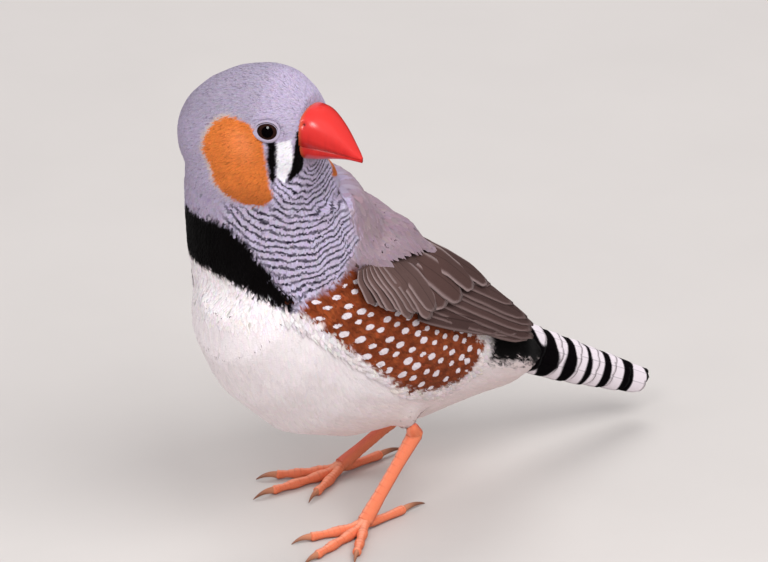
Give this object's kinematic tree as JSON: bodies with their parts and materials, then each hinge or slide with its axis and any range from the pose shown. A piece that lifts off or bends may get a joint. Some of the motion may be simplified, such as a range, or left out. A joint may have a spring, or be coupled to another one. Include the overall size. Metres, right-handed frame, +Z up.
{
  "type": "zebra finch figure",
  "caption": "Life-size male zebra finch standing on a floor with its head turned to its left and its wings folded.",
  "frame": {"origin": "middle of the bird's box, on the floor it stands on", "axes": "-Y is the way the breast faces, +X is the bird's left, +Z is up"},
  "size_m": [0.037, 0.0846, 0.0732],
  "materials": {
    "belly_plumage": "soft white feathers",
    "neck_plumage": "grey feathers barred black",
    "head_plumage": "short soft grey feathers",
    "wing_feathers": "smooth brown vanes with pale edges",
    "tail_feathers": "smooth black vanes barred white",
    "bill_horn": "glossy red horn",
    "eye": "wet and glossy",
    "leg_skin": "orange scaly skin",
    "claw_horn": "satin horn"
  },
  "bodies": {
    "root": {"torso": "belly_plumage", "thigh_left": "belly_plumage", "thigh_right": "belly_plumage", "neck": "neck_plumage", "head": "head_plumage", "wing_left": "wing_feathers", "wing_right": "wing_feathers", "tail": "tail_feathers", "bill_upper": "bill_horn", "bill_lower": "bill_horn", "eye_left": "eye", "eye_right": "eye", "shank_left": "leg_skin", "shank_right": "leg_skin", "foot_left": "leg_skin", "foot_right": "leg_skin", "claw_left_inner": "claw_horn", "claw_left_middle": "claw_horn", "claw_left_outer": "claw_horn", "claw_left_hind": "claw_horn", "claw_right_inner": "claw_horn", "claw_right_middle": "claw_horn", "claw_right_outer": "claw_horn", "claw_right_hind": "claw_horn"}
  },
  "joints": []
}
